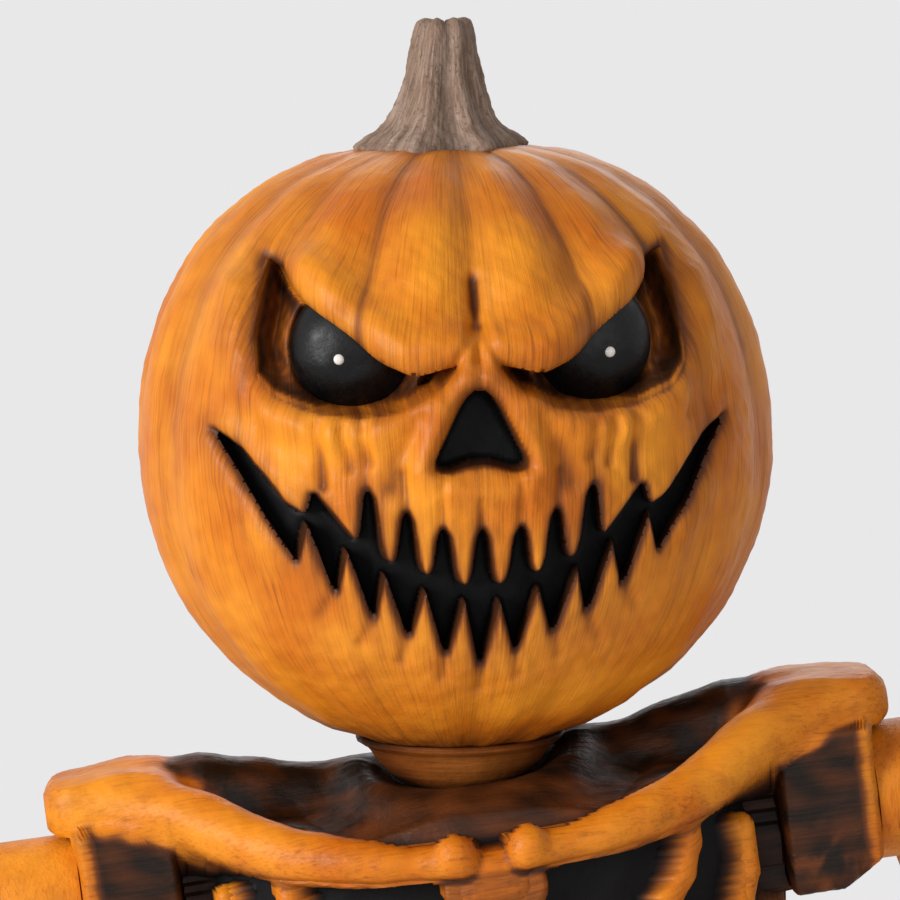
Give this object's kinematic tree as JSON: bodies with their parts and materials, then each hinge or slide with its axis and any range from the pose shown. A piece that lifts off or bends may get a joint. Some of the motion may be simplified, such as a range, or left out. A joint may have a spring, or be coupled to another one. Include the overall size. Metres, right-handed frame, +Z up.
{
  "type": "halloween skeleton figure",
  "caption": "Standing life-size posable skeleton with a carved pumpkin head, domed eyes with lights, ribbed torso and jointed limbs, resting on two flat feet.",
  "frame": {"origin": "on the floor, under the middle of the standing figure", "axes": "+Z up, the face looks along -Y, the figure's own left side is +X"},
  "size_m": [0.6012, 0.3062, 1.6765],
  "materials": {
    "pumpkin_plastic": "satin, antiqued with a dark wash",
    "stem_plastic": "matt, ribbed",
    "eye_plastic": "semi-gloss",
    "led_lens": "gloss",
    "wire_insulation": "matt",
    "black_plastic": "matt",
    "cell_jacket": "gloss",
    "zinc_screw": "zinc plated",
    "neck_plastic": "satin, antiqued with a dark wash",
    "torso_plastic": "satin, ribs orange and the hollows black-brown",
    "steel_tube": "satin",
    "nylon": "satin",
    "bone_plastic": "satin, antiqued with a dark wash"
  },
  "bodies": {
    "pelvis": {"pelvis_front": "bone_plastic", "pelvis_rear": "bone_plastic", "pelvis_screws": "zinc_screw", "hip_hubs": "black_plastic", "hip_bolts": "zinc_screw", "spine_rod": "steel_tube", "lumbar_spine": "bone_plastic"},
    "torso": {"torso_front_shell": "torso_plastic", "torso_rear_shell": "torso_plastic", "torso_screws": "zinc_screw", "shoulder_hubs": "black_plastic", "shoulder_bolts": "zinc_screw", "waist_socket": "black_plastic", "neck_socket": "black_plastic"},
    "neck": {"neck_post": "black_plastic", "neck_ball": "steel_tube", "neck_screw": "zinc_screw"},
    "neck_ring": {"neck_friction_ring": "nylon"},
    "head": {"head_front_shell": "pumpkin_plastic", "head_rear_shell": "pumpkin_plastic", "head_screws": "zinc_screw", "stem": "stem_plastic", "stem_screw": "zinc_screw", "eye_left": "eye_plastic", "eye_right": "eye_plastic", "eye_led_left": "led_lens", "eye_led_right": "led_lens", "led_wires": "wire_insulation", "battery_box": "black_plastic", "battery_cells": "cell_jacket", "neck_cup": "black_plastic", "neck_bowl": "neck_plastic"},
    "battery_lid": {"battery_door": "black_plastic"},
    "power_switch": {"switch_knob": "black_plastic"},
    "arm_left": {"upper_arm_left": "bone_plastic", "elbow_pin_left": "zinc_screw"},
    "lower_arm_left": {"forearm_left": "bone_plastic"},
    "wrist_left": {"hand_left": "bone_plastic"},
    "leg_left": {"thigh_left": "bone_plastic", "knee_pin_left": "zinc_screw"},
    "lower_leg_left": {"shin_left": "bone_plastic", "ankle_pin_left": "zinc_screw"},
    "ankle_left": {"foot_left": "bone_plastic"},
    "arm_right": {"upper_arm_right": "bone_plastic", "elbow_pin_right": "zinc_screw"},
    "lower_arm_right": {"forearm_right": "bone_plastic"},
    "wrist_right": {"hand_right": "bone_plastic"},
    "leg_right": {"thigh_right": "bone_plastic", "knee_pin_right": "zinc_screw"},
    "lower_leg_right": {"shin_right": "bone_plastic", "ankle_pin_right": "zinc_screw"},
    "ankle_right": {"foot_right": "bone_plastic"}
  },
  "joints": [
    {"name": "waist_turn", "type": "hinge", "parent": "pelvis", "child": "torso", "pos_m": [0, 0, 1.006], "axis": [0, 0, 1], "range_deg": [-45, 45]},
    {"name": "neck_turn", "type": "hinge", "parent": "torso", "child": "neck", "pos_m": [0, 0, 1.351], "axis": [0, 0, 1], "range_deg": [-60, 60]},
    {"name": "neck_nod", "type": "hinge", "parent": "neck", "child": "neck_ring", "pos_m": [0, 0, 1.351], "axis": [1, 0, 0], "range_deg": [-7, 7]},
    {"name": "neck_tilt", "type": "hinge", "parent": "neck_ring", "child": "head", "pos_m": [0, 0, 1.351], "axis": [0, 1, 0], "range_deg": [-13, 1]},
    {"name": "battery_lid_pull", "type": "slide", "parent": "head", "child": "battery_lid", "axis": [-0.0358, 0.9397, -0.3401], "range_m": [0, 0.012]},
    {"name": "power_slide", "type": "slide", "parent": "head", "child": "power_switch", "axis": [0.9945, 0, -0.1045], "range_m": [0, 0.004]},
    {"name": "shoulder_left_swing", "type": "hinge", "parent": "torso", "child": "arm_left", "pos_m": [0.2136, 0, 1.278], "axis": [-1, 0, 0], "range_deg": [-40, 110]},
    {"name": "elbow_left_bend", "type": "hinge", "parent": "arm_left", "child": "lower_arm_left", "pos_m": [0.25006, 0, 1.01855], "axis": [-0.9903, 0, -0.1392], "range_deg": [-18, 90]},
    {"name": "wrist_left_twist", "type": "hinge", "parent": "lower_arm_left", "child": "wrist_left", "pos_m": [0.27985, -0.06953, 0.80664], "axis": [-0.1324, 0.309, 0.9418], "range_deg": [-90, 90]},
    {"name": "hip_left_swing", "type": "hinge", "parent": "pelvis", "child": "leg_left", "pos_m": [0.0796, 0, 0.831], "axis": [-1, 0, 0], "range_deg": [-30, 90]},
    {"name": "knee_left_bend", "type": "hinge", "parent": "leg_left", "child": "lower_leg_left", "pos_m": [0.0796, 0, 0.441], "axis": [1, 0, 0], "range_deg": [0, 108]},
    {"name": "ankle_left_rock", "type": "hinge", "parent": "lower_leg_left", "child": "ankle_left", "pos_m": [0.0796, 0, 0.076], "axis": [1, 0, 0], "range_deg": [-25, 25]},
    {"name": "shoulder_right_swing", "type": "hinge", "parent": "torso", "child": "arm_right", "pos_m": [-0.2136, 0, 1.278], "axis": [-1, 0, 0], "range_deg": [-40, 110]},
    {"name": "elbow_right_bend", "type": "hinge", "parent": "arm_right", "child": "lower_arm_right", "pos_m": [-0.25006, 0, 1.01855], "axis": [-0.9903, 0, 0.1392], "range_deg": [-18, 90]},
    {"name": "wrist_right_twist", "type": "hinge", "parent": "lower_arm_right", "child": "wrist_right", "pos_m": [-0.27985, -0.06953, 0.80664], "axis": [0.1324, 0.309, 0.9418], "range_deg": [-90, 90]},
    {"name": "hip_right_swing", "type": "hinge", "parent": "pelvis", "child": "leg_right", "pos_m": [-0.0796, 0, 0.831], "axis": [-1, 0, 0], "range_deg": [-30, 90]},
    {"name": "knee_right_bend", "type": "hinge", "parent": "leg_right", "child": "lower_leg_right", "pos_m": [-0.0796, 0, 0.441], "axis": [1, 0, 0], "range_deg": [0, 108]},
    {"name": "ankle_right_rock", "type": "hinge", "parent": "lower_leg_right", "child": "ankle_right", "pos_m": [-0.0796, 0, 0.076], "axis": [1, 0, 0], "range_deg": [-25, 25]}
  ]
}
